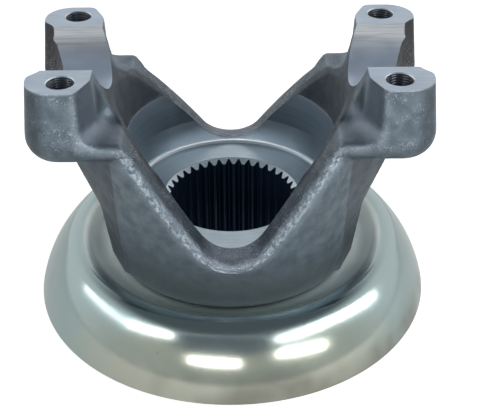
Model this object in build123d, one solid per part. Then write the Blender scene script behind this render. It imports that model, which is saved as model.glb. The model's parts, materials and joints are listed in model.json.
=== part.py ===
"""Half-round yoke for the end of a drive shaft: one forging, with a pressed sheet ring on its hub.

Millimetres. X runs across the two arms, Y runs front to back between the two ears of an arm,
Z is up from the end face of the hub, and the bore stands on the Z axis.
"""

from build123d import *
from math import acos, cos, degrees, pi, radians, sin, tan
import os

os.makedirs("parts", exist_ok=True)

# Hub below the shoulder: the seal's journal, a slightly larger seat for the ring, and the base.
hub_length = 37.5
journal_radius = 46.0
journal_chamfer = 2.0
ring_seat_step = 0.6
ring_seat_length = 4.0
shoulder_chamfer = 2.0
base_thickness = 26.7

# Sides that are left as forged lean by the draft, outside and in the hollow above the bore.
draft = 6.0
hollow_draft = 10.0

# Counterbore with the seat for the nut, and the cup's wall round it.
counterbore_radius = 52.3
counterbore_depth = 35.8
floor_round = 2.5
cup_wall = 11.2

# Notches at the front and the back, between the arms. Their outer edges are rounded by a share of
# the counterbore's radius.
notch_rise = 2.2
notch_side_angle = 53.2
notch_radius = 19.0
notch_edge_share = 0.0956

# Ears, measured at their machined top face, and their distance above the shoulder.
ear_rise = 110.5
ear_depth = 38.8
ear_inner = 62.8
ear_outer = 92.9
ear_front = 47.4
ear_round = 13.0
ear_underside_round = 12.0
waist_x = 79.0
waist_radius = 40.0
waist_round = 3.5

# Scoop between an ear and the web of its arm. Its wall on the ear turns outwards to the front.
shelf_drop = 26.5
web_front = 24.0
web_slant = 20.0
scoop_draft = 2.0
wall_turn = 6.5
wall_turn_length = 14.0
scoop_round = 9.0
shelf_round = 8.0
ledge_round = 4.0

# Half-round seats for the bearing cups, their axis just above the ears' top face.
cup_diameter = 49.2
saddle_offset = 5.4
saddle_inner_top = 63.4
saddle_inner_bottom = 58.0
lip_width = 2.6
lip_drop = 4.2

# Four tapped holes, one to each ear, for the screws of the bearing straps.
hole_spacing_x = 153.0
hole_spacing_y = 72.6
tap_drill = 11.5
hole_mouth = 13.6

# Arms between the cup and the ears, section by section from the shoulder up: height, angle of the
# front corner round the cup, how far the outer face stands out from the cup, and half its width.
arm_front_half = 56.0
arm_sections = [
    (0.0, 30.7, -0.5, 13.0),
    (30.5, 33.5, 0.3, 15.0),
    (56.5, 35.4, 7.8, 15.0),
    (75.7, 37.6, 10.0, 17.0),
]

# Splined bore.
tooth_count = 39
spline_major = 69.1
tooth_depth = 2.1
tooth_root_share = 0.32
tooth_tip_share = 0.72
mouth_chamfer = 0.6

# Ring pressed on to the hub, against the shoulder.
sheet = 2.0
ring_clearance = 0.1
ring_flange_margin = 1.0
ring_valley_radius = 10.0
ring_rise_angle = 40.0
ring_crest_radius = 9.0
ring_crest_rise = 7.5
ring_skirt_angle = 46.0
ring_skirt_radius = 62.0
ring_rim_drop = 24.8

# Radii that follow from the rest.
shoulder_radius = counterbore_radius + cup_wall
notch_edge_round = notch_edge_share * counterbore_radius
ring_seat_radius = journal_radius + ring_seat_step
ring_flange_radius = shoulder_radius + ring_flange_margin

# Heights above the hub's end face, and room for the cuts above the ears.
cut_room = 20.0
shoulder_z = hub_length
floor_z = shoulder_z + base_thickness
counterbore_top = floor_z + counterbore_depth
notch_bottom = floor_z + notch_rise
ear_top = shoulder_z + ear_rise
ear_bottom = ear_top - ear_depth
shelf_z = ear_top - shelf_drop
saddle_axis = ear_top + saddle_offset
saddle_bottom = saddle_axis - cup_diameter / 2
above = ear_top + cut_room


def cup_radius(z):
    """Outer radius of the forged cup, which leans out by the draft from the shoulder up."""
    return shoulder_radius + (z - shoulder_z) * tan(radians(draft))


def profile(points):
    """Face in the XZ plane from a closed run of (x, z) points."""
    return Plane.XZ * make_face(Polyline(*points, close=True))


# Notch seen from the front: a V with a round bottom that opens on to the inner faces of the arms.
apex = notch_bottom - notch_radius * (1 / cos(radians(notch_side_angle)) - 1)
corner_x = (shelf_z - apex) / tan(radians(notch_side_angle))
notch_right = [
    (corner_x, shelf_z),
    (saddle_inner_bottom - lip_width, saddle_bottom - lip_drop),
    (saddle_inner_bottom, saddle_bottom),
    (saddle_inner_top, ear_top),
    (saddle_inner_top, above),
]
notch_left = [(-x, z) for x, z in reversed(notch_right)]
notch = extrude(profile([(0, apex)] + notch_right + notch_left), 2 * shoulder_radius, both=True)
notch = fillet(notch.edges().filter_by(Axis.Y).sort_by(Axis.Z)[0], notch_radius)

# Cup: a leaning round wall, notched front and back, with the outer edges of the notches rounded.
cup_top = shelf_z + ledge_round
cup = revolve(
    profile([
        (0, shoulder_z),
        (shoulder_radius - shoulder_chamfer, shoulder_z),
        (shoulder_radius, shoulder_z + shoulder_chamfer),
        (cup_radius(cup_top), cup_top),
        (0, cup_top),
    ]),
    Axis.Z,
)
cup -= notch
rim_edges = [
    edge for edge in cup.edges()
    if notch_bottom - 1 < edge.center().Z < shelf_z + 1
    and abs(edge.center().X) < corner_x
    and abs(edge.center().Y) > counterbore_radius / 2
    and edge.length > notch_edge_round
]
cup = fillet(rim_edges, notch_edge_round)
cup &= Pos(0, 0, shoulder_z) * Box(
    2 * arm_front_half,
    4 * shoulder_radius,
    ear_rise,
    align=(Align.CENTER, Align.CENTER, Align.MIN),
)


def arm_section(rise, corner_angle, stand, half_width):
    """Plan of an arm at one height: its front corners lie on the cup's leaning wall."""
    radius = cup_radius(shoulder_z + rise)
    front_x = radius * cos(radians(corner_angle))
    front_y = radius * sin(radians(corner_angle))
    half = [(front_x / 2, front_y), (front_x, front_y), (radius + stand, half_width)]
    points = half + [(x, -y) for x, y in reversed(half)]
    return Pos(0, 0, shoulder_z + rise) * make_face(Polyline(*points, close=True))


# Arms: each grows out of the cup's side, from the shoulder up to the underside of the ears.
arm = loft([arm_section(*section) for section in arm_sections], ruled=True)
arm -= notch

# Ears: one block to an arm, waisted between its two ears, drafted, and round underneath.
block_inner = corner_x - ledge_round
block_width = ear_outer - block_inner
block = Pos(block_inner + block_width / 2, 0) * Rectangle(block_width, 2 * ear_front)
block -= Pos(waist_x + waist_radius, 0) * Circle(waist_radius)
outer_corners = block.vertices().group_by(Axis.X)[-1].sort_by(Axis.Y)
block = fillet([outer_corners[0], outer_corners[-1]], ear_round)
waist_corners = block.vertices().group_by(Axis.X)[-1].sort_by(lambda v: abs(v.Y))[:2]
block = fillet(waist_corners, waist_round)
ears = extrude(Pos(0, 0, ear_top) * block, -ear_depth, taper=-draft)
under_edges = [
    edge for edge in ears.edges().group_by(Axis.Z)[0]
    if edge.center().X > ear_inner - ear_underside_round
]
ears = fillet(under_edges, ear_underside_round)

# Scoop in front of each arm's web: it leaves a drafted wall on the ear and a shelf above the notch.
scoop_front = ear_front + ear_underside_round
web_back = web_front - ear_inner / 2 * tan(radians(web_slant))
wall_corner = (ear_inner, ear_front - wall_turn_length)
wall_front = ear_inner + wall_turn * (scoop_front - wall_corner[1]) / wall_turn_length
web_corner = (ear_inner, web_front)
scoop_points = [
    (ear_inner / 2, web_back),
    web_corner,
    wall_corner,
    (wall_front, scoop_front),
    (ear_inner / 2, scoop_front),
]
scoop_face = make_face(Polyline(*scoop_points, close=True))
scoop_face = fillet(scoop_face.vertices().sort_by_distance(web_corner)[0], scoop_round)
scoop_face = fillet(scoop_face.vertices().sort_by_distance(wall_corner)[0], shelf_round)
scoop = extrude(Pos(0, 0, ear_top) * scoop_face, -shelf_drop, taper=scoop_draft)
floor_edges = [
    edge for edge in scoop.edges().group_by(Axis.Z)[0]
    if ear_inner / 2 + 5 < edge.center().X and edge.center().Y < scoop_front - 5
]
scoop = fillet(floor_edges, shelf_round)

ears -= scoop
ears -= mirror(scoop, Plane.XZ)
ears -= notch
for side_scoop in (scoop, mirror(scoop, Plane.YZ)):
    cup -= side_scoop
    cup -= mirror(side_scoop, Plane.XZ)
ledge_edges = [
    edge for edge in ears.edges()
    if abs(edge.center().Z - shelf_z) < 0.01
    and abs(edge.center().Y) > ear_front + 2
    and edge.center().X < corner_x + shelf_round
]
ears = fillet(ledge_edges, ledge_round)

side = arm + ears
body = cup + side + mirror(side, Plane.YZ)

# Hub.
seat_z = shoulder_z - ring_seat_length
hub_line = [
    (0, 0),
    (journal_radius - journal_chamfer, 0),
    (journal_radius, journal_chamfer),
    (journal_radius, seat_z),
    (ring_seat_radius, seat_z),
    (ring_seat_radius, floor_z),
    (0, floor_z),
]
body += revolve(profile(hub_line), Axis.Z)

# Counterbore with its seat for the nut, and the drafted forged hollow above it.
hollow_top = counterbore_radius + (above - counterbore_top) * tan(radians(hollow_draft))
hollow_face = profile([
    (0, floor_z),
    (counterbore_radius, floor_z),
    (counterbore_radius, counterbore_top),
    (hollow_top, above),
    (0, above),
])
floor_corner = hollow_face.vertices().sort_by_distance((counterbore_radius, 0, floor_z))[0]
hollow_face = fillet(floor_corner, floor_round)
body -= revolve(hollow_face, Axis.Z)

# Saddles.
body -= Pos(0, 0, saddle_axis) * Rot(0, 90, 0) * Cylinder(cup_diameter / 2, 3 * ear_outer)

# Tapped holes with their chamfered mouths.
mouth_depth = (hole_mouth - tap_drill) / 2
for side_x in (-1, 1):
    for side_y in (-1, 1):
        spot = Pos(side_x * hole_spacing_x / 2, side_y * hole_spacing_y / 2, ear_top)
        body -= spot * Cylinder(tap_drill / 2, 3 * ear_depth)
        body -= spot * Pos(0, 0, -mouth_depth / 2) * Cone(tap_drill / 2, hole_mouth / 2, mouth_depth)

# Splined bore: the spaces between straight-sided teeth, and a chamfered mouth.
major = spline_major / 2
minor = major - tooth_depth
pitch = 2 * pi / tooth_count
spline_points = []
for tooth in range(tooth_count):
    for radius, offset in (
        (minor, -tooth_tip_share / 2),
        (major, -tooth_root_share / 2),
        (major, tooth_root_share / 2),
        (minor, tooth_tip_share / 2),
    ):
        turn = (tooth + offset) * pitch
        spline_points.append((radius * cos(turn), radius * sin(turn)))
body -= extrude(make_face(Polyline(*spline_points, close=True)), floor_z + 1)
mouth = tooth_depth + mouth_chamfer
body -= Pos(0, 0, floor_z - mouth / 2) * Cone(minor, minor + mouth, mouth)

export_step(body, "parts/yoke.step")

# Ring pressed from sheet: flange, valley, crest and skirt, one bend after another.
rise_height = ring_crest_rise - (ring_valley_radius + ring_crest_radius) * (
    1 - cos(radians(ring_rise_angle))
)
rise_length = rise_height / sin(radians(ring_rise_angle))
skirt_cos = cos(radians(ring_skirt_angle))
skirt_height = ring_crest_rise + ring_rim_drop - ring_crest_radius * (1 - skirt_cos)
skirt_turn = degrees(acos(skirt_cos - skirt_height / ring_skirt_radius)) - ring_skirt_angle


def ring_line(depth):
    """Section line of the ring, at a depth below its outer face."""
    bore = ring_seat_radius + ring_clearance
    flange = Line((bore, shoulder_z - depth), (ring_flange_radius, shoulder_z - depth))
    valley = JernArc(flange @ 1, (1, 0), ring_valley_radius + depth, ring_rise_angle)
    rise = Line(valley @ 1, valley @ 1 + (valley % 1) * rise_length)
    crest_turn = ring_rise_angle + ring_skirt_angle
    crest = JernArc(rise @ 1, rise % 1, ring_crest_radius - depth, -crest_turn)
    skirt = JernArc(crest @ 1, crest % 1, ring_skirt_radius - depth, -skirt_turn)
    return [flange, valley, rise, crest, skirt]


outer_line = ring_line(0)
inner_line = ring_line(sheet)
bore_end = Line(outer_line[0] @ 0, inner_line[0] @ 0)
rim_end = Line(outer_line[-1] @ 1, inner_line[-1] @ 1)
ring = revolve(Plane.XZ * make_face(outer_line + inner_line + [bore_end, rim_end]), Axis.Z)
export_step(ring, "parts/slinger.step")

for name, piece in (("yoke", body), ("slinger", ring)):
    size = piece.bounding_box().size
    print(name, len(piece.solids()), "solid", round(piece.volume / 1000, 1), "cm3", size)
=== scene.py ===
"""A half-round end yoke with its pressed ring, dressed for a studio picture. Metres, Z up."""

import json
import math

import bmesh
import bpy
from mathutils import Matrix, Vector

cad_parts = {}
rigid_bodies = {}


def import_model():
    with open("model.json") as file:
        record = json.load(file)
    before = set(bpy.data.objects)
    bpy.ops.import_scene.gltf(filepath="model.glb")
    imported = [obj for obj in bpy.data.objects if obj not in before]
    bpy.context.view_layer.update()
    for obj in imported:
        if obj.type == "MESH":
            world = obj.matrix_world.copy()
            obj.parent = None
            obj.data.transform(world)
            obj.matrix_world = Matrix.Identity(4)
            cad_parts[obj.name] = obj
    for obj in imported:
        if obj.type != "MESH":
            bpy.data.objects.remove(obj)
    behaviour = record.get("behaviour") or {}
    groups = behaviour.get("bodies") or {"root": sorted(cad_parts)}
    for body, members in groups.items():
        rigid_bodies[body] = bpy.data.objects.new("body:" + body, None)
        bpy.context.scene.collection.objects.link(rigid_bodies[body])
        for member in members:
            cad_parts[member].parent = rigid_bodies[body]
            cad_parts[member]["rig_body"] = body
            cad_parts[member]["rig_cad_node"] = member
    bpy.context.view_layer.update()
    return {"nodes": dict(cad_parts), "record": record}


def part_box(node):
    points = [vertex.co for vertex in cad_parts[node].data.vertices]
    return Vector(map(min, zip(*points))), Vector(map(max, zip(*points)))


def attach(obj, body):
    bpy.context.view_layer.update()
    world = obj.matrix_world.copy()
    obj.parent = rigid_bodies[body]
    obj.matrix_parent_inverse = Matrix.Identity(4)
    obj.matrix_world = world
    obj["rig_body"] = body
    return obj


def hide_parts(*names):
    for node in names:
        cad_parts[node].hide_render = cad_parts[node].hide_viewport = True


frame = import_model()
mounts = {mount["name"]: mount for mount in frame["record"]["mounts"]}
mm = 0.001

# The forging blank.
# One billet of medium-carbon steel, hammered hot between two dies, trimmed and shot-blasted.
# Its leaning sides keep the dies' grain, and 3 mm of stock stands where it is cut later.
ear_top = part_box("yoke")[1].z
saddle_axis = mounts["cup_saddles"]["pos_m"][2]
saddle_radius = mounts["cup_saddles"]["dims"]["r_mm"] * mm
nut_seat = mounts["nut_seat"]["pos_m"][2]
tooth_tip_radius = mounts["splined_bore"]["dims"]["r_mm"] * mm
screw_x = mounts["strap_screws"]["dims"]["spacing_x_mm"] / 2 * mm
screw_y = mounts["strap_screws"]["dims"]["spacing_y_mm"] / 2 * mm
shoulder = 37.5 * mm
counterbore_radius = 52.3 * mm
counterbore_top = 100.0 * mm
stock = 3.0 * mm
stock_root = 0.5 * mm
bore_plug_radius = tooth_tip_radius + 4 * mm
hole_plug_radius = 7.4 * mm
hole_plug_bottom = 112.0 * mm
grain_cell = 1.15 * mm
blend_passes = 5
skin_relief = 0.16 * mm
skin_grain = 5.5 * mm
weld = 0.001 * mm


def add(name, data):
    """A new object in the scene, from its mesh, lamp or camera."""
    piece = bpy.data.objects.new(name, data)
    bpy.context.scene.collection.objects.link(piece)
    return piece


def new_piece(name, points, faces):
    """A piece from points and faces, closed at its seams and poles, with its faces outwards."""
    mesh = bpy.data.meshes.new(name)
    mesh.from_pydata(points, [], faces)
    shape = bmesh.new()
    shape.from_mesh(mesh)
    bmesh.ops.remove_doubles(shape, verts=shape.verts, dist=weld)
    loose = [edge for edge in shape.edges if not edge.link_faces]
    bmesh.ops.delete(shape, geom=loose, context="EDGES")
    bmesh.ops.recalc_face_normals(shape, faces=shape.faces)
    shape.to_mesh(mesh)
    shape.free()
    return add(name, mesh)


def spun(name, section, steps):
    """A solid turned round Z from a closed run of (radius, height) points."""
    turns = [2 * math.pi * step / steps for step in range(steps)]
    points = [(r * math.cos(t), r * math.sin(t), z) for r, z in section for t in turns]
    faces = []
    for row in range(len(section)):
        here = row * steps
        there = (row + 1) % len(section) * steps
        for step in range(steps):
            after = (step + 1) % steps
            faces.append((here + step, here + after, there + after, there + step))
    return new_piece(name, points, faces)


def rod(name, radius, bottom, top, steps):
    """A plain round bar on Z, between two heights."""
    return spun(name, [(0, bottom), (radius, bottom), (radius, top), (0, top)], steps)


def settle(piece):
    """Uses up a piece's modifiers, so that what stays is a plain mesh."""
    graph = bpy.context.evaluated_depsgraph_get()
    mesh = bpy.data.meshes.new_from_object(piece.evaluated_get(graph), depsgraph=graph)
    piece.modifiers.clear()
    piece.data = mesh


def drop(piece):
    """Removes a piece that was only a step on the way."""
    bpy.data.objects.remove(piece)


def is_cut(centre, normal):
    """True on the faces that a machine cuts after forging, found to within a few tenths."""
    radius = math.hypot(centre.x, centre.y)
    from_axis = math.hypot(centre.y, centre.z - saddle_axis)
    ear_face = normal.z > 0.99 and centre.z > ear_top - 0.2 * mm
    saddle = abs(from_axis - saddle_radius) < 0.4 * mm and abs(centre.x) > counterbore_radius
    inside = radius < counterbore_radius + 0.3 * mm
    counterbore = inside and nut_seat - 0.2 * mm < centre.z < counterbore_top
    hub = centre.z < shoulder + 0.1 * mm and radius > bore_plug_radius
    return ear_face or saddle or counterbore or hub


blank = frame["nodes"]["yoke"].copy()
blank.data = blank.data.copy()
blank.name = "yoke_forging"
blank.parent = None
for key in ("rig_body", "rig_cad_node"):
    if key in blank:
        del blank[key]
bpy.context.scene.collection.objects.link(blank)
merged = bmesh.new()
merged.from_mesh(blank.data)
bmesh.ops.remove_doubles(merged, verts=merged.verts, dist=2 * weld)
merged.to_mesh(blank.data)

# The stock is a shell that stands on each face that will be cut, and plugs in the bore and holes.
left = [face for face in merged.faces if not is_cut(face.calc_center_median(), face.normal)]
bmesh.ops.delete(merged, geom=left, context="FACES")
stock_mesh = bpy.data.meshes.new("stock")
merged.to_mesh(stock_mesh)
merged.free()
stock_shell = add("stock", stock_mesh)
thicken = stock_shell.modifiers.new("stock", "SOLIDIFY")
thicken.thickness = stock + stock_root
thicken.offset = 1 - 2 * stock_root / thicken.thickness
settle(stock_shell)

plugs = [stock_shell, rod("bore_plug", bore_plug_radius, -stock, nut_seat + stock, steps=48)]
for side_x in (-1, 1):
    for side_y in (-1, 1):
        plug = rod("hole_plug", hole_plug_radius, hole_plug_bottom, ear_top + stock, steps=24)
        plug.data.transform(Matrix.Translation((side_x * screw_x, side_y * screw_y, 0)))
        plugs.append(plug)

joined = bmesh.new()
for piece in [blank, *plugs]:
    joined.from_mesh(piece.data)
joined.to_mesh(blank.data)
joined.free()
for plug in plugs:
    drop(plug)

grow = blank.modifiers.new("grain", "REMESH")
grow.mode = "VOXEL"
grow.voxel_size = grain_cell
blend = blank.modifiers.new("blend", "SMOOTH")
blend.factor = 0.5
blend.iterations = blend_passes
settle(blank)


def geometry_tree(name, sizes):
    """A geometry node tree that takes a shape, one named float for each size, and a finish."""
    tree = bpy.data.node_groups.new(name, "GeometryNodeTree")
    tree.interface.new_socket("Geometry", in_out="INPUT", socket_type="NodeSocketGeometry")
    for size in sizes:
        tree.interface.new_socket(size, in_out="INPUT", socket_type="NodeSocketFloat")
    tree.interface.new_socket("Finish", in_out="INPUT", socket_type="NodeSocketMaterial")
    tree.interface.new_socket("Geometry", in_out="OUTPUT", socket_type="NodeSocketGeometry")
    return tree


def put(tree, kind, inputs=None, **settings):
    """A node with its settings, and each named input set to a value or joined to a socket."""
    node = tree.nodes.new(kind)
    for key, value in settings.items():
        setattr(node, key, value)
    for key, value in (inputs or {}).items():
        if isinstance(value, bpy.types.NodeSocket):
            tree.links.new(value, node.inputs[key])
        else:
            node.inputs[key].default_value = value
    return node


def math_node(tree, operation, first, second=0.0, third=0.0, clamp=False):
    """One step of arithmetic on sockets or numbers."""
    inputs = {0: first, 1: second, 2: third}
    node = put(tree, "ShaderNodeMath", inputs, operation=operation, use_clamp=clamp)
    return node.outputs[0]


def noise(tree, place, scale, detail, roughness=0.5, seed=None):
    """A soft noise from 0 to 1 over a place, from a seed where one is given."""
    inputs = {"Vector": place, "Scale": scale, "Detail": detail, "Roughness": roughness}
    if seed is None:
        return put(tree, "ShaderNodeTexNoise", inputs).outputs[0]
    inputs["W"] = seed
    return put(tree, "ShaderNodeTexNoise", inputs, noise_dimensions="4D").outputs[0]


def end_tree(tree, shape, finish):
    """Ends a geometry tree: what it has made becomes real geometry in its finish."""
    real = put(tree, "GeometryNodeRealizeInstances", {"Geometry": shape})
    inputs = {"Geometry": real.outputs[0], "Material": finish}
    painted = put(tree, "GeometryNodeSetMaterial", inputs)
    put(tree, "NodeGroupOutput", {"Geometry": painted.outputs[0]})


def run_tree(piece, tree, values):
    """Runs a tree on a piece with its inputs set by name, and keeps the result as a plain mesh."""
    step = piece.modifiers.new(tree.name, "NODES")
    step.node_group = tree
    for item in tree.interface.items_tree:
        if item.in_out == "INPUT" and item.name in values:
            step[item.identifier] = values[item.name]
    settle(piece)


# Die grain: the skin rises and falls with broad dents and a finer grain on top.
skin_tree = geometry_tree("forged_skin", ["Relief", "Grain", "Seed"])
start = put(skin_tree, "NodeGroupInput").outputs
place = put(skin_tree, "GeometryNodeInputPosition").outputs[0]
facing = put(skin_tree, "GeometryNodeInputNormal").outputs[0]
broad_scale = math_node(skin_tree, "DIVIDE", 1.0, start["Grain"])
fine_scale = math_node(skin_tree, "MULTIPLY", broad_scale, 2.6)
broad = noise(skin_tree, place, broad_scale, 2.0, seed=start["Seed"])
fine = noise(skin_tree, place, fine_scale, 1.0, seed=start["Seed"])
dents = math_node(skin_tree, "MULTIPLY_ADD", fine, 0.6, broad)
dents = math_node(skin_tree, "SUBTRACT", dents, 0.98)
height = math_node(skin_tree, "MULTIPLY", dents, start["Relief"])
lift = put(skin_tree, "ShaderNodeVectorMath", {0: facing, "Scale": height}, operation="SCALE")
moved = put(
    skin_tree,
    "GeometryNodeSetPosition",
    {"Geometry": start["Geometry"], "Offset": lift.outputs[0]},
)
end_tree(skin_tree, moved.outputs[0], start["Finish"])


def shader_group(name, inputs, outputs):
    """A shader node group with named inputs, a place or a number each, and float outputs."""
    group = bpy.data.node_groups.new(name, "ShaderNodeTree")
    for label, value in inputs.items():
        kind = "NodeSocketVector" if label == "Vector" else "NodeSocketFloat"
        socket = group.interface.new_socket(label, in_out="INPUT", socket_type=kind)
        if value is not None:
            socket.default_value = value
    for label in outputs:
        group.interface.new_socket(label, in_out="OUTPUT", socket_type="NodeSocketFloat")
    return group


def use_group(tree, group, **inputs):
    """A group placed in a material with its inputs set, and what it puts out."""
    return put(tree, "ShaderNodeGroup", inputs, node_tree=group).outputs


def blend_colour(tree, share, first, second):
    """A mix of two colours, or of two colour sockets, by a share from 0 to 1."""
    node = put(tree, "ShaderNodeMix", {0: share}, data_type="RGBA")
    for slot, value in ((6, first), (7, second)):
        if isinstance(value, bpy.types.NodeSocket):
            tree.links.new(value, node.inputs[slot])
        else:
            node.inputs[slot].default_value = (*value, 1.0)
    return node.outputs[2]


def tint(tree, colour, mask, strength, tone):
    """A colour taken towards a tone where a mask shows, by a strength from 0 to 1."""
    return blend_colour(tree, math_node(tree, "MULTIPLY", mask, strength), colour, tone)


def ramp(tree, value, low, high, curve="LINEAR"):
    """A mask that goes from 0 to 1 as a value goes from low to high, or the other way round."""
    inputs = {"Value": value, "From Min": low, "From Max": high}
    return put(tree, "ShaderNodeMapRange", inputs, interpolation_type=curve).outputs[0]


def overlap(tree, *masks):
    """The share that all the masks have in common: their product."""
    share = masks[0]
    for mask in masks[1:]:
        share = math_node(tree, "MULTIPLY", share, mask)
    return share


def either(tree, *masks):
    """The strongest of the masks at each place."""
    share = masks[0]
    for mask in masks[1:]:
        share = math_node(tree, "MAXIMUM", share, mask)
    return share


def coordinates(tree, place):
    """The X, Y and Z of a place."""
    return put(tree, "ShaderNodeSeparateXYZ", {0: place}).outputs


def length_of(tree, first, second):
    """How far a point lies from an axis, from its two distances across it."""
    flat = put(tree, "ShaderNodeCombineXYZ", {"X": first, "Y": second}).outputs[0]
    return put(tree, "ShaderNodeVectorMath", {0: flat}, operation="LENGTH").outputs["Value"]


def metal(name):
    """A bare metal material, its tree and its place on the object."""
    material = bpy.data.materials.new(name)
    material.use_nodes = True
    tree = material.node_tree
    tree.nodes["Principled BSDF"].inputs["Metallic"].default_value = 1.0
    return material, tree, put(tree, "ShaderNodeTexCoord").outputs["Object"]


def clothe(tree, colour, rough, relief, strength, depth):
    """Joins a metal's colour, roughness and relief to its surface."""
    surface = tree.nodes["Principled BSDF"]
    tree.links.new(colour, surface.inputs["Base Color"])
    tree.links.new(rough, surface.inputs["Roughness"])
    bump = put(tree, "ShaderNodeBump", {"Height": relief, "Strength": strength, "Distance": depth})
    tree.links.new(bump.outputs[0], surface.inputs["Normal"])


# Blast grain: pale flecks, dark pits and a slow change of tone, for every blasted surface.
blast_grain = shader_group(
    "blast_grain", {"Vector": None, "Size": 0.001}, ["Tone", "Fleck", "Pit", "Height"]
)
start = put(blast_grain, "NodeGroupInput").outputs
fineness = math_node(blast_grain, "DIVIDE", 1.0, start["Size"])
cloud_scale = math_node(blast_grain, "MULTIPLY", fineness, 0.09)
patch_scale = math_node(blast_grain, "MULTIPLY", fineness, 0.33)
grains = noise(blast_grain, start["Vector"], fineness, 3.0, roughness=0.62)
clouds = noise(blast_grain, start["Vector"], cloud_scale, 3.0)
patches = noise(blast_grain, start["Vector"], patch_scale, 2.0)
dense = math_node(blast_grain, "MULTIPLY_ADD", patches, 0.28, grains)
fleck_high = math_node(blast_grain, "SUBTRACT", dense, 0.70)
pit_low = math_node(blast_grain, "SUBTRACT", 0.54, dense)
put(
    blast_grain,
    "NodeGroupOutput",
    {
        "Tone": math_node(blast_grain, "MULTIPLY_ADD", clouds, 2.4, -0.7, clamp=True),
        "Fleck": math_node(blast_grain, "MULTIPLY", fleck_high, 9.0, clamp=True),
        "Pit": math_node(blast_grain, "MULTIPLY", pit_low, 9.0, clamp=True),
        "Height": math_node(blast_grain, "MULTIPLY_ADD", patches, 0.8, grains),
    },
)

# Edge wear: the outer edges, where blasting and handling leave the steel bright.
edge_wear = shader_group("edge_wear", {"From": 0.5, "Gain": 12.0}, ["Mask"])
start = put(edge_wear, "NodeGroupInput").outputs
bend = put(edge_wear, "ShaderNodeNewGeometry").outputs["Pointiness"]
past = math_node(edge_wear, "SUBTRACT", bend, start["From"])
put(
    edge_wear,
    "NodeGroupOutput",
    {"Mask": math_node(edge_wear, "MULTIPLY", past, start["Gain"], clamp=True)},
)

forged_dark = (0.105, 0.134, 0.162)
forged_light = (0.175, 0.212, 0.248)
# The fleck colour also paints the highlights below.
fleck_and_highlight_colour = (0.63, 0.70, 0.78)
# The pit colour also paints the shade below.
pit_and_shade_colour = (0.040, 0.046, 0.056)
waist_colour = (0.045, 0.043, 0.045)
# Paler flecks in the waist.
waist_fleck_colour = (0.38, 0.36, 0.42)
trimmed_colour = (0.25, 0.28, 0.33)
# The colour of the cup foot's painted light.
cup_foot_light_colour = (0.30, 0.34, 0.35)
scoop_colour = (0.24, 0.28, 0.34)
forged, tree, place = metal("forged_skin")
grain = use_group(tree, blast_grain, Vector=place, Size=0.00062)
wear = use_group(tree, edge_wear, From=0.503, Gain=16.0)
spot = coordinates(tree, place)
side = math_node(tree, "ABSOLUTE", spot["X"])
front = math_node(tree, "ABSOLUTE", spot["Y"])
from_bore = length_of(tree, spot["X"], spot["Y"])
outside_hollow = ramp(tree, from_bore, 57.0 * mm, 59.0 * mm)

# The notch's rounded lip, a V with a round bottom, gets a streaky painted highlight, brighter than the
# wall round it.
# Its trimmed inner band is darker, and both lie further out at the foot of the V.
lip_lean = math.radians(53.2)
lip_bend = 19.0 * mm
lip_bend_height = 85.4 * mm
lip_middle = 2.8 * mm
lip_foot_shift = 1.9 * mm
trim_foot_shift = 3.0 * mm
up_lip = math_node(tree, "SUBTRACT", spot["Z"], lip_bend_height)
across_lip = math_node(tree, "MULTIPLY", side, math.sin(lip_lean))
across_lip = math_node(tree, "MULTIPLY_ADD", up_lip, -math.cos(lip_lean), across_lip)
along_lip = math_node(tree, "MULTIPLY", side, math.cos(lip_lean))
along_lip = math_node(tree, "MULTIPLY_ADD", up_lip, math.sin(lip_lean), along_lip)
below_bend = math_node(tree, "MINIMUM", along_lip, 0.0)
past_lip = math_node(tree, "SUBTRACT", length_of(tree, across_lip, below_bend), lip_bend)
foot = ramp(tree, side, 15.0 * mm, 8.0 * mm)
from_lip = math_node(tree, "SUBTRACT", past_lip, lip_middle)
from_lip = math_node(tree, "MULTIPLY_ADD", foot, -lip_foot_shift, from_lip)
from_lip = math_node(tree, "ABSOLUTE", from_lip)
narrower = math_node(tree, "MULTIPLY_ADD", foot, 1.5, 1.0)
from_lip = math_node(tree, "MULTIPLY", from_lip, narrower)
low_enough = ramp(tree, spot["Z"], 122.0 * mm, 114.0 * mm)
lip = overlap(tree, ramp(tree, from_lip, 2.7 * mm, 0.9 * mm), outside_hollow, low_enough)
lip_streak_way = put(
    tree,
    "ShaderNodeCombineXYZ",
    {
        "X": math_node(tree, "MULTIPLY", along_lip, 420.0),
        "Y": math_node(tree, "MULTIPLY", past_lip, 620.0),
        "Z": math_node(tree, "MULTIPLY", spot["X"], 60.0),
    },
).outputs[0]
# Painted highlight on the lip, broken into streaks along it.
lip_highlight = overlap(tree, lip, ramp(tree, noise(tree, lip_streak_way, 1.0, 3.0), 0.38, 0.58))
trim_edge = math_node(tree, "MULTIPLY_ADD", foot, -trim_foot_shift, past_lip)
trimmed = overlap(
    tree,
    ramp(tree, trim_edge, 1.2 * mm, 0.4 * mm),
    ramp(tree, past_lip, -1.5 * mm, -0.7 * mm),
    low_enough,
)

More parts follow.
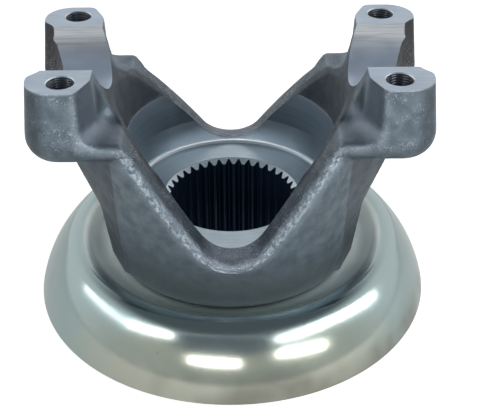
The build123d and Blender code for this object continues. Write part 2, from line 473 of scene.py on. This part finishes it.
# Painted highlights run down the inner front corner of each ear, beside the scoop, and along its
# shelf's edge.
# The ear's cut top edge gets a painted highlight too, and edges elsewhere are worn.
corner_side = 68.5 * mm
corner_front = 48.5 * mm
shelf_front = 49.5 * mm
shelf_height = 121.5 * mm
from_column = length_of(
    tree,
    math_node(tree, "SUBTRACT", side, corner_side),
    math_node(tree, "SUBTRACT", front, corner_front),
)
column = overlap(
    tree,
    ramp(tree, from_column, 4.0 * mm, 1.0 * mm),
    ramp(tree, spot["Z"], 116.0 * mm, 120.0 * mm),
)
from_shelf = length_of(
    tree,
    math_node(tree, "SUBTRACT", front, shelf_front),
    math_node(tree, "SUBTRACT", spot["Z"], shelf_height),
)
shelf = overlap(
    tree,
    ramp(tree, from_shelf, 3.5 * mm, 0.8 * mm),
    ramp(tree, side, 49.0 * mm, 51.0 * mm),
    ramp(tree, side, 68.0 * mm, 63.0 * mm),
)
scoop_edge_highlight = math_node(tree, "MULTIPLY", either(tree, column, shelf), 0.38)
ear_top_edge_highlight = ramp(tree, spot["Z"], ear_top - 1.2 * mm, ear_top - 0.4 * mm)
on_ear = overlap(
    tree,
    ramp(tree, side, 64.0 * mm, 70.0 * mm),
    ramp(tree, spot["Z"], 100.0 * mm, 112.0 * mm),
)
off_ear = math_node(tree, "MULTIPLY_ADD", on_ear, -0.8, 1.0)
worn = overlap(tree, off_ear, wear["Mask"], 0.6)
# Painted highlights and real edge wear, lightened together.
edge_highlight_and_wear = either(tree, lip_highlight, scoop_edge_highlight, ear_top_edge_highlight, worn)

# The ears and the trimmed notch keep a coarser skin than the arms and the cup, here and there.
clusters = ramp(tree, noise(tree, place, 95.0, 2.0), 0.46, 0.64)
ear_skin = overlap(tree, on_ear, clusters, 0.42)
specked = overlap(tree, math_node(tree, "MULTIPLY_ADD", clusters, 0.35, 0.35), trimmed)
coarse_skin = either(tree, ear_skin, edge_highlight_and_wear, specked)
coarse_skin = math_node(tree, "MULTIPLY_ADD", clusters, 0.12, coarse_skin, clamp=True)
colour = blend_colour(tree, grain["Tone"], forged_dark, forged_light)
colour = tint(tree, colour, trimmed, 0.40, pit_and_shade_colour)
colour = tint(tree, colour, overlap(tree, trimmed, foot), 0.8, trimmed_colour)
colour = tint(tree, colour, overlap(tree, grain["Pit"], coarse_skin), 0.75, pit_and_shade_colour)
colour = tint(tree, colour, edge_highlight_and_wear, 0.46, fleck_and_highlight_colour)
colour = tint(tree, colour, grain["Fleck"], coarse_skin, fleck_and_highlight_colour)

# The outer corners of the ears and the sides of the arms, past their front corners, are painted
# darker, as painted shade where they turn away from the light.
corner_turn = 0.536
corner_spread = 1.59
corner_level = corner_turn - corner_spread * shoulder
arm_corner = math_node(tree, "MULTIPLY_ADD", spot["Z"], corner_spread, corner_level)
around = math_node(tree, "ARCTAN2", front, side)
arm_side_shade = overlap(
    tree,
    ramp(tree, math_node(tree, "SUBTRACT", arm_corner, around), -0.004, 0.008),
    ramp(tree, spot["Z"], 113.0 * mm, 109.0 * mm),
    outside_hollow,
)
ear_corner_shade = overlap(
    tree,
    ramp(tree, side, 83.0 * mm, 88.0 * mm),
    ramp(tree, side, 94.0 * mm, 91.5 * mm),
)
colour = tint(tree, colour, either(tree, arm_side_shade, ear_corner_shade), 0.52, pit_and_shade_colour)

# The scoops beside the ears are smoother and paler than the rest.
scoop = overlap(
    tree,
    ramp(tree, side, 49.0 * mm, 54.0 * mm),
    ramp(tree, side, 69.0 * mm, 66.0 * mm),
    ramp(tree, spot["Z"], 119.0 * mm, 123.0 * mm),
    ramp(tree, front, 26.0 * mm, 30.0 * mm),
    ramp(tree, front, 49.0 * mm, 46.0 * mm),
)
colour = tint(tree, colour, scoop, 0.6, scoop_colour)

# The foot of the cup is painted paler, as painted light, down to a line of painted shade where the
# ring meets it.
cup_foot_light = overlap(
    tree,
    ramp(tree, spot["Z"], 62.0 * mm, 42.0 * mm),
    ramp(tree, side, 58.0 * mm, 40.0 * mm),
)
colour = tint(tree, colour, cup_foot_light, 0.75, cup_foot_light_colour)
ring_contact_shade = ramp(tree, spot["Z"], shoulder + 1.0 * mm, shoulder + 0.5 * mm)
colour = tint(tree, colour, ring_contact_shade, 0.9, pit_and_shade_colour)

# The waist between the ears is painted near black, with paler flecks lower down, and the forged
# hollow's wall gets painted shade.
waist_middle = 119.0 * mm
hollow_radius = 56.5 * mm
hollow_draft = 0.176
from_waist = length_of(tree, math_node(tree, "SUBTRACT", side, waist_middle), spot["Y"])
waist = ramp(tree, from_waist, 43.5 * mm, 41.5 * mm)
colour = tint(tree, colour, waist, 0.85, waist_colour)
waist_flecks = overlap(tree, waist, ramp(tree, spot["Z"], 140.0 * mm, 132.0 * mm), grain["Fleck"])
colour = tint(tree, colour, waist_flecks, 0.7, waist_fleck_colour)
hollow_level = hollow_radius - hollow_draft * counterbore_top
hollow_wall = math_node(tree, "MULTIPLY_ADD", spot["Z"], hollow_draft, hollow_level)
hollow_shade = overlap(
    tree,
    ramp(tree, math_node(tree, "SUBTRACT", hollow_wall, from_bore), 0.0, 1.5 * mm),
    ramp(tree, spot["Z"], 92.0 * mm, 98.0 * mm),
)
colour = tint(tree, colour, hollow_shade, 0.72, pit_and_shade_colour)
rough = math_node(tree, "MULTIPLY_ADD", grain["Tone"], -0.10, 0.56)
relief = math_node(tree, "MULTIPLY_ADD", coarse_skin, 0.85, 0.15)
relief = math_node(tree, "MULTIPLY", relief, grain["Height"])
clothe(tree, colour, rough, relief, strength=0.7, depth=0.7 * mm)

run_tree(
    blank,
    skin_tree,
    {"Relief": skin_relief, "Grain": skin_grain, "Seed": 4.0, "Finish": forged},
)

# The machined faces, bare steel where the stock is cut away.
# A mill faces the ears, one long tool is drawn through both cup saddles, and a lathe cuts the hub,
# its shoulder, the counterbore and the nut's seat. A broach then draws the 39 tooth spaces.
hub_radius = mounts["hub_journal"]["dims"]["r_mm"] * mm
hub_chamfer = 2.0 * mm
hub_seat_radius = hub_radius + 0.6 * mm
hub_seat_bottom = 33.5 * mm
bore_mouth = 2.7 * mm
seat_round = 2.5 * mm
seat_round_steps = 8
teeth = 39
tooth_depth = 2.1 * mm
root_half_share = 0.07
tip_half_share = 0.36
steps_to_a_tooth = 20
clear = 8.0 * mm
reach = 120.0 * mm
line_drift = 0.03

# Tool marks: fine lines across one coordinate, for every cut face.
tool_marks = shader_group("tool_marks", {"Vector": None, "Spacing": 0.0004}, ["Tone", "Height"])
start = put(tool_marks, "NodeGroupInput").outputs
closeness = math_node(tool_marks, "DIVIDE", 1.0, start["Spacing"])
lines = noise(tool_marks, start["Vector"], closeness, 2.0, roughness=0.7)
line_tone = math_node(tool_marks, "MULTIPLY_ADD", lines, 2.6, -0.8, clamp=True)
put(tool_marks, "NodeGroupOutput", {"Tone": line_tone, "Height": lines})


def cut_metal(name, dark, light, roughness, spacing, depth, way):
    """A machined face: the tool's lines, milled across Y or Z, turned round Z, or drawn down Z."""
    material, tree, place = metal(name)
    spot = coordinates(tree, place)
    if way == "turned":
        tree.nodes["Principled BSDF"].inputs["Anisotropic"].default_value = 0.75
        across = {"X": length_of(tree, spot["X"], spot["Y"]), "Y": spot["Z"]}
    elif way == "drawn":
        across = {"X": spot["X"], "Y": spot["Y"]}
    else:
        across = {"X": spot[way], "Y": math_node(tree, "MULTIPLY", spot["X"], line_drift)}
    spread = put(tree, "ShaderNodeCombineXYZ", across).outputs[0]
    marks = use_group(tree, tool_marks, Vector=spread, Spacing=spacing)
    colour = blend_colour(tree, marks["Tone"], dark, light)
    cloud = noise(tree, place, 90.0, 3.0)
    rough = math_node(tree, "MULTIPLY_ADD", cloud, 0.24, roughness - 0.12)
    clothe(tree, colour, rough, marks["Height"], 0.5, depth)
    return material


def paint_highlight(material, heights, distances, colour, soft=0.2 * mm, widest=200 * mm):
    """Paints a highlight, a brighter colour, on a cut metal between two heights and two distances from
    the bore.
    """
    tree = material.node_tree
    base = tree.nodes["Principled BSDF"].inputs["Base Color"]
    spot = coordinates(tree, put(tree, "ShaderNodeTexCoord").outputs["Object"])
    out = length_of(tree, spot["X"], spot["Y"])
    share = overlap(
        tree,
        ramp(tree, math_node(tree, "ABSOLUTE", spot["X"]), widest, 0.75 * widest),
        ramp(tree, spot["Z"], heights[0] - soft, heights[0]),
        ramp(tree, spot["Z"], heights[1] + soft, heights[1]),
        ramp(tree, out, distances[0] - soft, distances[0]),
        ramp(tree, out, distances[1] + soft, distances[1]),
    )
    tree.links.new(blend_colour(tree, share, base.links[0].from_socket, colour), base)


milled = cut_metal(
    "milled_ear", (0.37, 0.44, 0.52), (0.46, 0.53, 0.62), 0.38, 0.6 * mm, 0.02 * mm, "Y"
)
drawn = cut_metal(
    "drawn_saddle", (0.28, 0.29, 0.31), (0.44, 0.45, 0.47), 0.50, 1.1 * mm, 0.01 * mm, "Z"
)
turned = cut_metal(
    "turned_face", (0.37, 0.44, 0.49), (0.48, 0.55, 0.61), 0.42, 0.5 * mm, 0.02 * mm, "turned"
)
# The spline's and the threads' dark colours are painted shade, for the depth of the bore and of the
# holes.
broached = cut_metal(
    "broached_spline", (0.022, 0.05, 0.1), (0.036, 0.066, 0.125), 0.55, 0.6 * mm, 0.03 * mm, "drawn"
)
tapped = cut_metal(
    "tapped_thread", (0.05, 0.06, 0.07), (0.12, 0.13, 0.15), 0.34, 0.4 * mm, 0.02 * mm, "turned"
)
finishes = [forged, milled, drawn, turned, broached, tapped]

# Painted highlights brighten the counterbore's wall towards front and back, its corner and the bore's
# mouth.
# The holes' mouths and the lower half of each saddle get painted highlights too.
corner_top = nut_seat + 2.6 * mm
mouth_bottom = nut_seat - 2.6 * mm
paint_highlight(turned, (corner_top, 80 * mm), (51.5 * mm, 53 * mm), (0.88, 0.94, 0.99), widest=44 * mm)
paint_highlight(turned, (nut_seat + 0.25 * mm, corner_top), (50 * mm, 53 * mm), (0.90, 0.94, 0.98))
paint_highlight(turned, (mouth_bottom, nut_seat - 0.2 * mm), (32 * mm, 36 * mm), (0.86, 0.90, 0.94))
paint_highlight(tapped, (ear_top - 0.35 * mm, ear_top + 1.0 * mm), (0, reach), (0.66, 0.72, 0.78))
paint_highlight(drawn, (120 * mm, 133 * mm), (0, reach), (0.66, 0.73, 0.86), soft=7 * mm)


def wear_finish(piece, finish):
    """Gives a piece the shared list of finishes, with all its faces in one of them."""
    piece.data.materials.clear()
    for material in finishes:
        piece.data.materials.append(material)
    number = finishes.index(finish)
    piece.data.polygons.foreach_set("material_index", [number] * len(piece.data.polygons))


def machine(piece, tool, finish):
    """Cuts a tool's shape out of a piece and leaves the tool's finish on the cut."""
    wear_finish(tool, finish)
    cut = piece.modifiers.new("cut", "BOOLEAN")
    cut.operation = "DIFFERENCE"
    cut.solver = "MANIFOLD"
    cut.object = tool
    settle(piece)
    drop(tool)


wear_finish(blank, forged)
machine(blank, rod("facing_tool", reach, ear_top, ear_top + clear, steps=64), milled)

saddle_tool = rod("saddle_tool", saddle_radius, -reach, reach, steps=160)
saddle_tool.data.transform(Matrix.Rotation(math.pi / 2, 4, "Y"))
saddle_tool.data.transform(Matrix.Translation((0, 0, saddle_axis)))
machine(blank, saddle_tool, drawn)

seat_corner = counterbore_radius - seat_round
seat_turns = [math.pi / 2 * step / seat_round_steps for step in range(seat_round_steps + 1)]
counterbore_section = [
    (0, -clear),
    (tooth_tip_radius, -clear),
    (tooth_tip_radius, nut_seat - bore_mouth),
    (tooth_tip_radius + bore_mouth, nut_seat),
    *[
        (seat_corner + seat_round * math.sin(t), nut_seat + seat_round * (1 - math.cos(t)))
        for t in seat_turns
    ],
    (counterbore_radius, counterbore_top),
    (counterbore_radius, ear_top + clear),
    (0, ear_top + clear),
]
machine(blank, spun("counterbore_tool", counterbore_section, steps=256), turned)

hub_section = [
    (0, -clear),
    (reach, -clear),
    (reach, shoulder),
    (hub_seat_radius, shoulder),
    (hub_seat_radius, hub_seat_bottom),
    (hub_radius, hub_seat_bottom),
    (hub_radius, hub_chamfer),
    (hub_radius - hub_chamfer, 0),
    (0, 0),
]
machine(blank, spun("hub_tool", hub_section, steps=200), turned)

# The broach: one tooth space after another round the bore, as a rule on the circle's points.
broach_sizes = ["Teeth", "Steps", "Tip Radius", "Depth", "Root Share", "Tip Share", "Bottom", "Length"]
broach_tree = geometry_tree("broach", broach_sizes)
start = put(broach_tree, "NodeGroupInput").outputs
circle = put(
    broach_tree,
    "GeometryNodeMeshCircle",
    {"Vertices": math_node(broach_tree, "MULTIPLY", start["Teeth"], start["Steps"]), "Radius": 1.0},
    fill_type="NGON",
)
point_number = put(broach_tree, "GeometryNodeInputIndex").outputs[0]
tooth_number = math_node(broach_tree, "DIVIDE", point_number, start["Steps"])
along_tooth = math_node(broach_tree, "FRACT", tooth_number)
past_middle = math_node(broach_tree, "SUBTRACT", along_tooth, 0.5)
past_middle = math_node(broach_tree, "ABSOLUTE", past_middle)
from_middle = math_node(broach_tree, "SUBTRACT", 0.5, past_middle)
flank = put(
    broach_tree,
    "ShaderNodeMapRange",
    {
        "Value": from_middle,
        "From Min": start["Root Share"],
        "From Max": start["Tip Share"],
        "To Min": math_node(broach_tree, "ADD", start["Tip Radius"], start["Depth"]),
        "To Max": start["Tip Radius"],
    },
).outputs[0]
on_circle = put(broach_tree, "GeometryNodeInputPosition").outputs[0]
wide = put(broach_tree, "ShaderNodeVectorMath", {0: on_circle, "Scale": flank}, operation="SCALE")
low = put(broach_tree, "ShaderNodeCombineXYZ", {"Z": start["Bottom"]})
shifted = put(
    broach_tree,
    "ShaderNodeVectorMath",
    {0: wide.outputs[0], 1: low.outputs[0]},
    operation="ADD",
)
outline = put(
    broach_tree,
    "GeometryNodeSetPosition",
    {"Geometry": circle.outputs[0], "Position": shifted.outputs[0]},
).outputs[0]
upwards = put(broach_tree, "ShaderNodeCombineXYZ", {"Z": start["Length"]})
prism = put(
    broach_tree,
    "GeometryNodeExtrudeMesh",
    {"Mesh": outline, "Offset": upwards.outputs[0], "Offset Scale": 1.0, "Individual": False},
).outputs[0]
underside = put(broach_tree, "GeometryNodeFlipFaces", {0: outline}).outputs[0]
whole = put(broach_tree, "GeometryNodeJoinGeometry")
broach_tree.links.new(underside, whole.inputs[0])
broach_tree.links.new(prism, whole.inputs[0])
sewn = put(
    broach_tree,
    "GeometryNodeMergeByDistance",
    {"Geometry": whole.outputs[0], "Distance": weld},
)
end_tree(broach_tree, sewn.outputs[0], start["Finish"])

broach = new_piece("broach", [(0, 0, 0)], [])
run_tree(
    broach,
    broach_tree,
    {
        "Teeth": float(teeth),
        "Steps": float(steps_to_a_tooth),
        "Tip Radius": tooth_tip_radius,
        "Depth": tooth_depth,
        "Root Share": root_half_share,
        "Tip Share": tip_half_share,
        "Bottom": -clear,
        "Length": nut_seat + 2 * clear,
        "Finish": broached,
    },
)
machine(blank, broach, broached)

# The four tapped holes.
# Each is drilled through its ear, chamfered at the mouth and tapped with a 1/2 in fine thread for
# a strap screw. The same tap cuts all four, at the corners of the screw pattern.
thread_pitch = 1.27 * mm
thread_crest = mounts["strap_screws"]["dims"]["hole_r_mm"] * mm
thread_depth = 0.6 * mm
thread_length = 42.0 * mm
mouth_radius = 6.8 * mm
tap_overrun = 1.0 * mm
rings_to_a_pitch = 4
tap_steps = 40


def tap_radius(depth, turn):
    """Radius of the tap at a depth below the ear's face: a helix, opened by the mouth's chamfer."""
    phase = depth / thread_pitch - turn / (2 * math.pi)
    ridge = 1 - 2 * abs(phase - math.floor(phase) - 0.5)
    return max(thread_crest + thread_depth * ridge, mouth_radius - max(depth, 0.0))


tap_points = [(0, 0, -thread_length)]
tap_length = thread_length + tap_overrun
rows = int(tap_length / thread_pitch * rings_to_a_pitch)
for row in range(rows + 1):
    depth = thread_length - row * tap_length / rows
    for step in range(tap_steps):
        turn = 2 * math.pi * step / tap_steps
        radius = tap_radius(depth, turn)
        tap_points.append((radius * math.cos(turn), radius * math.sin(turn), -depth))
tap_points.append((0, 0, tap_overrun))
last_row = 1 + rows * tap_steps
tap_faces = []
for step in range(tap_steps):
    after = (step + 1) % tap_steps
    tap_faces.append((0, 1 + after, 1 + step))
    tap_faces.append((len(tap_points) - 1, last_row + step, last_row + after))
    for row in range(rows):
        here = 1 + row * tap_steps
        there = here + tap_steps
        tap_faces.append((here + step, here + after, there + after, there + step))
tap = new_piece("tap", tap_points, tap_faces)

pattern_tree = geometry_tree("screw_pattern", ["Spacing X", "Spacing Y", "Height"])
start = put(pattern_tree, "NodeGroupInput").outputs
screw_places = put(
    pattern_tree,
    "GeometryNodeMeshGrid",
    {"Size X": start["Spacing X"], "Size Y": start["Spacing Y"], "Vertices X": 2, "Vertices Y": 2},
)
taps = put(
    pattern_tree,
    "GeometryNodeInstanceOnPoints",
    {"Points": screw_places.outputs[0], "Instance": start["Geometry"]},
)
to_ears = put(pattern_tree, "ShaderNodeCombineXYZ", {"Z": start["Height"]})
raised = put(
    pattern_tree,
    "GeometryNodeTranslateInstances",
    {"Instances": taps.outputs[0], "Translation": to_ears.outputs[0]},
)
end_tree(pattern_tree, raised.outputs[0], start["Finish"])
run_tree(
    tap,
    pattern_tree,
    {"Spacing X": 2 * screw_x, "Spacing Y": 2 * screw_y, "Height": ear_top, "Finish": tapped},
)
machine(blank, tap, tapped)


def soften(piece, angle):
    """Smooth shading, with a crisp line where two faces meet at more than the angle."""
    piece.data.shade_smooth()
    piece.data.set_sharp_from_angle(angle=math.radians(angle))


soften(blank, angle=32)
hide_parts("yoke")
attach(blank, "root")

# The ring on the hub.
# Sheet steel, 2 mm thick, pressed into a flange, a valley and a deep rolled crest, bright plated
# and forced on to the hub against the shoulder. It throws off oil and keeps dirt from the seal.
ring_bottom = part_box("slinger")[0].z
sheet = 2.0 * mm
ring_bore = hub_seat_radius + 0.1 * mm
flange_radius = 64.5 * mm
valley_radius = 10.0 * mm
rise_angle = math.radians(40.0)
crest_radius = 9.0 * mm
crest_rise = 7.5 * mm
skirt_angle = math.radians(46.0)
skirt_radius = 62.0 * mm
rim_drop = 24.8 * mm
rim_gap = 0.05 * mm
valley_steps = 16
crest_steps = 30
skirt_steps = 24
rim_steps = 8
section_steps = 190
round_steps = 240


def bend_points(centre, radius, first, last, count):
    """Points of one bend of the sheet, round its centre in the plane of the section."""
    turns = [first + (last - first) * step / count for step in range(count + 1)]
    return [(centre[0] + radius * math.cos(t), centre[1] + radius * math.sin(t)) for t in turns]


def sheet_line(depth):
    """One face of the pressed sheet, from its bore to its rim, at a depth below the outer face."""
    drop_to_crest = (valley_radius + crest_radius) * (1 - math.cos(rise_angle))
    rise_length = (crest_rise - drop_to_crest) / math.sin(rise_angle)
    valley = (flange_radius, shoulder + valley_radius)
    bends = (valley_radius + crest_radius) * math.sin(rise_angle)
    across = bends + rise_length * math.cos(rise_angle)
    crest = (flange_radius + across, shoulder + crest_rise - crest_radius)
    skirt = (
        crest[0] - (skirt_radius - crest_radius) * math.sin(skirt_angle),
        crest[1] - (skirt_radius - crest_radius) * math.cos(skirt_angle),
    )
    rim = math.asin((shoulder - rim_drop - skirt[1]) / skirt_radius)
    up = math.pi / 2
    fall = up - skirt_angle
    return [
        (ring_bore, shoulder - depth),
        *bend_points(valley, valley_radius + depth, -up, rise_angle - up, valley_steps),
        *bend_points(crest, crest_radius - depth, rise_angle + up, fall, crest_steps),
        *bend_points(skirt, skirt_radius - depth, fall, rim, skirt_steps)[1:],
    ]


outer_face = sheet_line(0.0)
inner_face = sheet_line(sheet)
rim_centre = tuple((a + b) / 2 for a, b in zip(outer_face[-1], inner_face[-1]))
rim_turn = math.atan2(outer_face[-1][1] - rim_centre[1], outer_face[-1][0] - rim_centre[0])
rim_edge = bend_points(rim_centre, sheet / 2, rim_turn, rim_turn - math.pi, rim_steps)[1:-1]
rim_edge = [(r, max(z, ring_bottom + rim_gap)) for r, z in rim_edge]
section = outer_face + rim_edge + inner_face[::-1]

# The section, as a closed line, is swung round the hub by a rule on a grid's points.
ring_tree = geometry_tree("pressed_ring", ["Section Steps", "Round Steps"])
start = put(ring_tree, "NodeGroupInput").outputs
line = put(ring_tree, "GeometryNodeMeshToCurve", {"Mesh": start["Geometry"]}).outputs[0]
points_round = math_node(ring_tree, "ADD", start["Round Steps"], 1.0)
grid = put(
    ring_tree,
    "GeometryNodeMeshGrid",
    {
        "Size X": 1.0,
        "Size Y": 1.0,
        "Vertices X": start["Section Steps"],
        "Vertices Y": points_round,
    },
).outputs[0]
cell = coordinates(ring_tree, put(ring_tree, "GeometryNodeInputPosition").outputs[0])
share = math_node(ring_tree, "ADD", cell["X"], 0.5)
turn = math_node(ring_tree, "MULTIPLY", cell["Y"], 2 * math.pi)
sampled = put(
    ring_tree,
    "GeometryNodeSampleCurve",
    {"Curves": line, "Factor": share},
    use_all_curves=True,
)
on_line = coordinates(ring_tree, sampled.outputs["Position"])
swung = put(
    ring_tree,
    "ShaderNodeCombineXYZ",
    {
        "X": math_node(ring_tree, "MULTIPLY", on_line["X"], math_node(ring_tree, "COSINE", turn)),
        "Y": math_node(ring_tree, "MULTIPLY", on_line["X"], math_node(ring_tree, "SINE", turn)),
        "Z": on_line["Z"],
    },
)
shaped = put(
    ring_tree,
    "GeometryNodeSetPosition",
    {"Geometry": grid, "Position": swung.outputs[0]},
)
sewn = put(
    ring_tree,
    "GeometryNodeMergeByDistance",
    {"Geometry": shaped.outputs[0], "Distance": 5 * weld},
)
end_tree(ring_tree, sewn.outputs[0], start["Finish"])

# The plate is clear on the crest, hazed, stained and darker towards the rim, and dull in the valley;
# parts of its colour are painted reflections.
plate_high = (0.34, 0.42, 0.42)
# The low skirt's colour is a painted reflection of the floor.
floor_reflection_colour = (0.42, 0.43, 0.37)
# The valley colours are painted reflections, palest at the sides.
valley_front_reflection = (0.52, 0.58, 0.55)
valley_side_reflection = (0.92, 0.98, 0.95)
# Dark colour for the stains, the painted darker reflections and the nicks.
dark_reflection_and_nick_colour = (0.22, 0.22, 0.19)
plated, tree, place = metal("bright_plate")
spot = coordinates(tree, place)
front = math_node(tree, "ABSOLUTE", spot["Y"])
haze = noise(tree, place, 24.0, 4.0)
hazy_height = math_node(tree, "MULTIPLY_ADD", haze, 0.012, spot["Z"])
# Painted reflection of the floor, warmer, low on the skirt's front and back.
floor_reflection_share = overlap(
    tree,
    ramp(tree, hazy_height, 50.0 * mm, 40.0 * mm),
    ramp(tree, front, 56.0 * mm, 84.0 * mm),
)
colour = blend_colour(tree, floor_reflection_share, plate_high, floor_reflection_colour)
# Dark patches low on the skirt, partly smudges and partly painted darker reflection of the floor.
smudge = ramp(tree, noise(tree, place, 30.0, 2.0), 0.48, 0.66)
stain_and_dark_reflection = overlap(tree, smudge, ramp(tree, hazy_height, 36.0 * mm, 26.0 * mm))
colour = tint(tree, colour, stain_and_dark_reflection, 0.8, dark_reflection_and_nick_colour)
nicks = put(tree, "ShaderNodeTexVoronoi", {"Vector": place, "Scale": 62.0}).outputs
few = put(tree, "ShaderNodeSeparateColor", {"Color": nicks["Color"]}).outputs[0]
nick = overlap(tree, ramp(tree, nicks["Distance"], 0.055, 0.030), ramp(tree, few, 0.6, 0.7))
colour = tint(tree, colour, nick, 0.7, dark_reflection_and_nick_colour)
# The valley is painted paler, palest at the sides, as painted reflection; it is rougher too.
dull = ramp(tree, length_of(tree, spot["X"], spot["Y"]), 79.0 * mm, 74.0 * mm)
to_side = ramp(tree, front, 62.0 * mm, 26.0 * mm)
valley_reflection_colour = blend_colour(tree, to_side, valley_front_reflection, valley_side_reflection)
colour = blend_colour(tree, dull, colour, valley_reflection_colour)
rubs = noise(tree, place, 420.0, 2.0)
rough = math_node(tree, "MULTIPLY_ADD", haze, 0.10, 0.10)
rough = math_node(tree, "MULTIPLY_ADD", rubs, 0.03, rough)
rough = math_node(tree, "MULTIPLY_ADD", dull, 0.26, rough)
rough = math_node(tree, "MULTIPLY_ADD", overlap(tree, dull, to_side), 0.30, rough)
clothe(tree, colour, rough, haze, strength=0.25, depth=0.8 * mm)

ring_mesh = bpy.data.meshes.new("ring_section")
ring_points = [(r, 0, z) for r, z in section + section[:1]]
ring_mesh.from_pydata(ring_points, [(i, i + 1) for i in range(len(section))], [])
ring = add("slinger_ring", ring_mesh)
run_tree(
    ring,
    ring_tree,
    {"Section Steps": float(section_steps), "Round Steps": float(round_steps), "Finish": plated},
)
outward = bmesh.new()
outward.from_mesh(ring.data)
bmesh.ops.recalc_face_normals(outward, faces=outward.faces)
outward.to_mesh(ring.data)
outward.free()
soften(ring, angle=40)
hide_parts("slinger")
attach(ring, "root")

# The studio.
# A pale floor that fades into white, a long strip lamp to each side with a faint one between them,
# and two soft boxes low in front. The camera looks 34 degrees down, from straight in front.
half_floor = 3.0
floor_mesh = bpy.data.meshes.new("floor")
floor_edges = [(x * half_floor, y * half_floor, 0) for x, y in ((-1, -1), (1, -1), (1, 1), (-1, 1))]
floor_mesh.from_pydata(floor_edges, [], [(0, 1, 2, 3)])
floor = add("floor", floor_mesh)
paper = bpy.data.materials.new("floor_paper")
paper.use_nodes = True
tree = paper.node_tree
tree.nodes.remove(tree.nodes["Principled BSDF"])
matt = put(tree, "ShaderNodeBsdfDiffuse", {"Color": (0.90, 0.88, 0.84, 1)})
rays = put(tree, "ShaderNodeLightPath").outputs
glow_strength = math_node(tree, "MULTIPLY", rays["Is Camera Ray"], 0.72)
glow_strength = math_node(tree, "MULTIPLY_ADD", rays["Is Glossy Ray"], 0.22, glow_strength)
glow = put(tree, "ShaderNodeEmission", {"Color": (1, 1, 1, 1), "Strength": glow_strength})
floor_finish = put(tree, "ShaderNodeAddShader", {0: matt.outputs[0], 1: glow.outputs[0]})
tree.links.new(floor_finish.outputs[0], tree.nodes["Material Output"].inputs["Surface"])
floor.data.materials.append(paper)

# The room is white behind the part and dim behind the camera, with paler walls low down and at
# the sides, and a dark ceiling.
world = bpy.data.worlds.new("studio")
world.use_nodes = True
bpy.context.scene.world = world
tree = world.node_tree
tree.nodes.clear()
looking = coordinates(tree, put(tree, "ShaderNodeTexCoord").outputs["Generated"])
behind = ramp(tree, looking["Y"], -0.45, 0.35, curve="SMOOTHSTEP")
overhead = ramp(tree, looking["Z"], 0.50, 0.85, curve="SMOOTHSTEP")
low_wall = ramp(tree, looking["Z"], 0.49, 0.42)
side_wall = ramp(tree, math_node(tree, "ABSOLUTE", looking["X"]), 0.40, 0.65)
walls = blend_colour(tree, low_wall, (0.20, 0.25, 0.30), (0.52, 0.57, 0.56))
walls = blend_colour(tree, side_wall, walls, (0.62, 0.69, 0.69))
walls = blend_colour(tree, behind, walls, (0.78, 0.84, 0.86))
walls = blend_colour(tree, overhead, walls, (0.15, 0.17, 0.19))
room = put(tree, "ShaderNodeBackground", {"Color": walls, "Strength": 1.0})
white = put(tree, "ShaderNodeBackground", {"Color": (1, 1, 1, 1), "Strength": 1.0})
rays = put(tree, "ShaderNodeLightPath").outputs
low_behind = math_node(tree, "MULTIPLY_ADD", overhead, -1.0, 1.0)
low_behind = overlap(tree, low_behind, behind)
mirrored = overlap(tree, rays["Is Glossy Ray"], low_behind)
seen = either(tree, mirrored, rays["Is Transmission Ray"], rays["Is Camera Ray"])
backdrop = put(tree, "ShaderNodeMixShader", {0: seen, 1: room.outputs[0], 2: white.outputs[0]})
put(tree, "ShaderNodeOutputWorld", {"Surface": backdrop.outputs[0]})

strip_distance = 0.90
box_distance = 0.85
aim = Vector((0, 0, 0.03))


def toward(azimuth, elevation, distance):
    """A point seen from the part at an azimuth from the camera's side and at an elevation."""
    turn = math.radians(azimuth)
    tilt = math.radians(elevation)
    level_way = distance * math.cos(tilt)
    return Vector((level_way * math.sin(turn), -level_way * math.cos(turn), distance * math.sin(tilt)))


def strip_lamp(name, first, last, width, radiance):
    """A long soft lamp from one point to another, turned to the part."""
    length = (last - first).length
    along = (last - first).normalized()
    centre = (first + last) / 2
    back = centre - aim
    back = (back - back.dot(along) * along).normalized()
    light = bpy.data.lights.new(name, "AREA")
    light.shape = "RECTANGLE"
    light.size = length
    light.size_y = width
    light.energy = radiance * math.pi * length * width
    turn = Matrix((along, back.cross(along), back)).transposed().to_4x4()
    add(name, light).matrix_world = Matrix.Translation(centre) @ turn


for name, first, last, distance, width, radiance in (
    ("left_strip", (-38, 35), (-64, 27), strip_distance, 0.06, 11.0),
    ("far_left_strip", (-64, 27), (-101, 17), strip_distance, 0.06, 3.4),
    ("right_strip", (26, 35), (93, 17), strip_distance, 0.06, 11.0),
    ("faint_strip", (-38, 38), (26, 38), strip_distance, 0.010, 1.2),
    ("left_box", (-24, 19.8), (3, 19.8), box_distance, 0.085, 9.5),
    ("right_box", (24, 23.3), (51, 17.3), box_distance, 0.085, 10.8),
):
    strip_lamp(name, toward(*first, distance), toward(*last, distance), width, radiance)

camera_place = (0.0006, -0.4611, 0.3672)
pitch = math.radians(34.00)
yaw = math.radians(0.47)
roll = math.radians(-0.39)
forward = Vector(
    (math.sin(yaw) * math.cos(pitch), math.cos(yaw) * math.cos(pitch), -math.sin(pitch))
)
level = forward.cross(Vector((0, 0, 1))).normalized()
upright = level.cross(forward)
right = level * math.cos(roll) + upright * math.sin(roll)
top = upright * math.cos(roll) - level * math.sin(roll)
camera = add("camera", bpy.data.cameras.new("camera"))
facing_way = Matrix((right, top, -forward)).transposed().to_4x4()
camera.matrix_world = Matrix.Translation(camera_place) @ facing_way
camera.data.sensor_fit = "HORIZONTAL"
camera.data.sensor_width = 36.0
camera.data.lens = 79.2
camera.data.clip_start = 0.01
bpy.context.scene.camera = camera
bpy.context.scene.view_settings.view_transform = "Standard"
